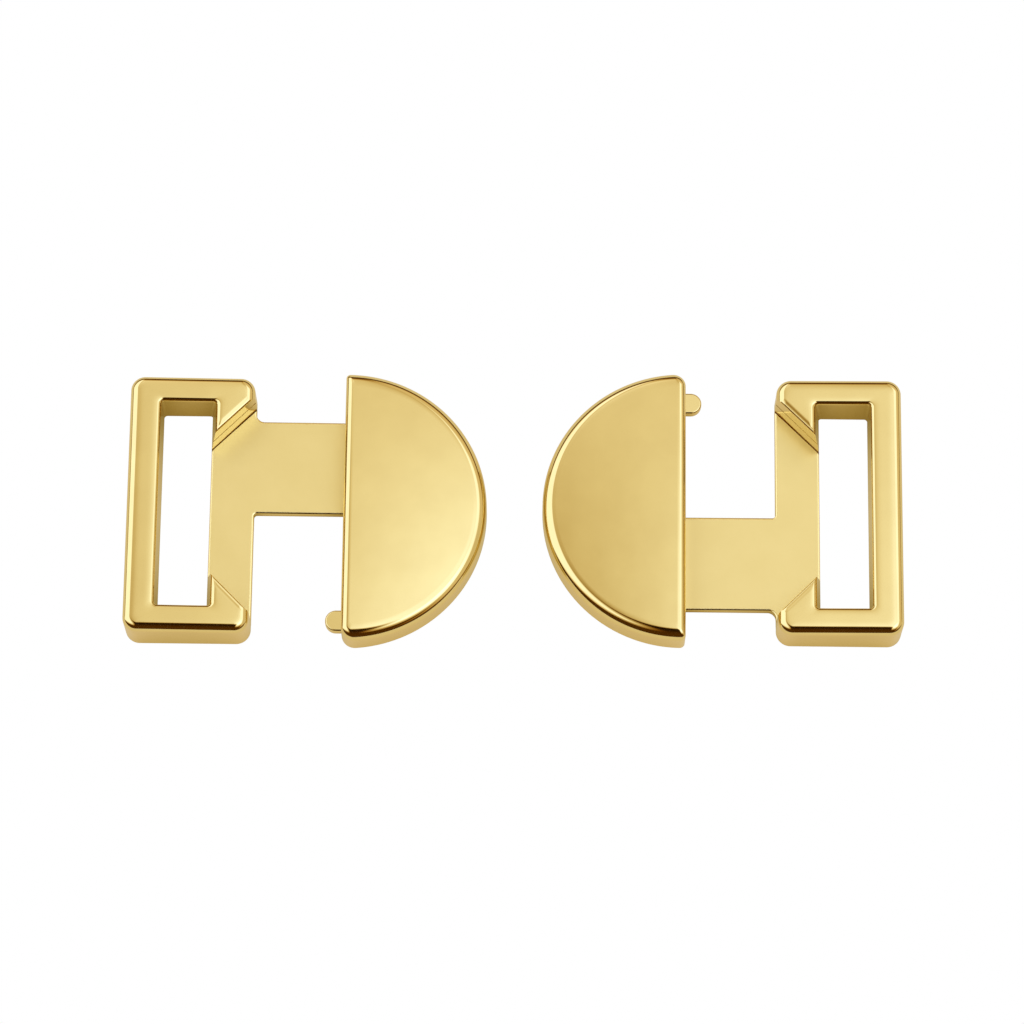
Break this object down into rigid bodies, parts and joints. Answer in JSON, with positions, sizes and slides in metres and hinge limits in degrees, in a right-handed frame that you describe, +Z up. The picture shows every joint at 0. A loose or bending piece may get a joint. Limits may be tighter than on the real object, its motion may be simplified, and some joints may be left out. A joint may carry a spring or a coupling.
{
  "type": "metal strap buckle",
  "caption": "Interlocking strap buckle, unfastened: each half has a slotted frame, a low neck, a half disc and a lug, and the half discs meet as a full disc.",
  "frame": {"origin": "on the surface that the two halves lie on, midway between them", "axes": "+X from the left half to the right half, along the strap; +Y across the strap, towards the left half's neck; +Z up"},
  "size_m": [0.075, 0.0274, 0.0051],
  "materials": {
    "gold_plate": "mirror-polished gold plating on a zinc casting"
  },
  "bodies": {
    "root": {"left_half": "gold_plate", "right_half": "gold_plate"}
  },
  "joints": []
}
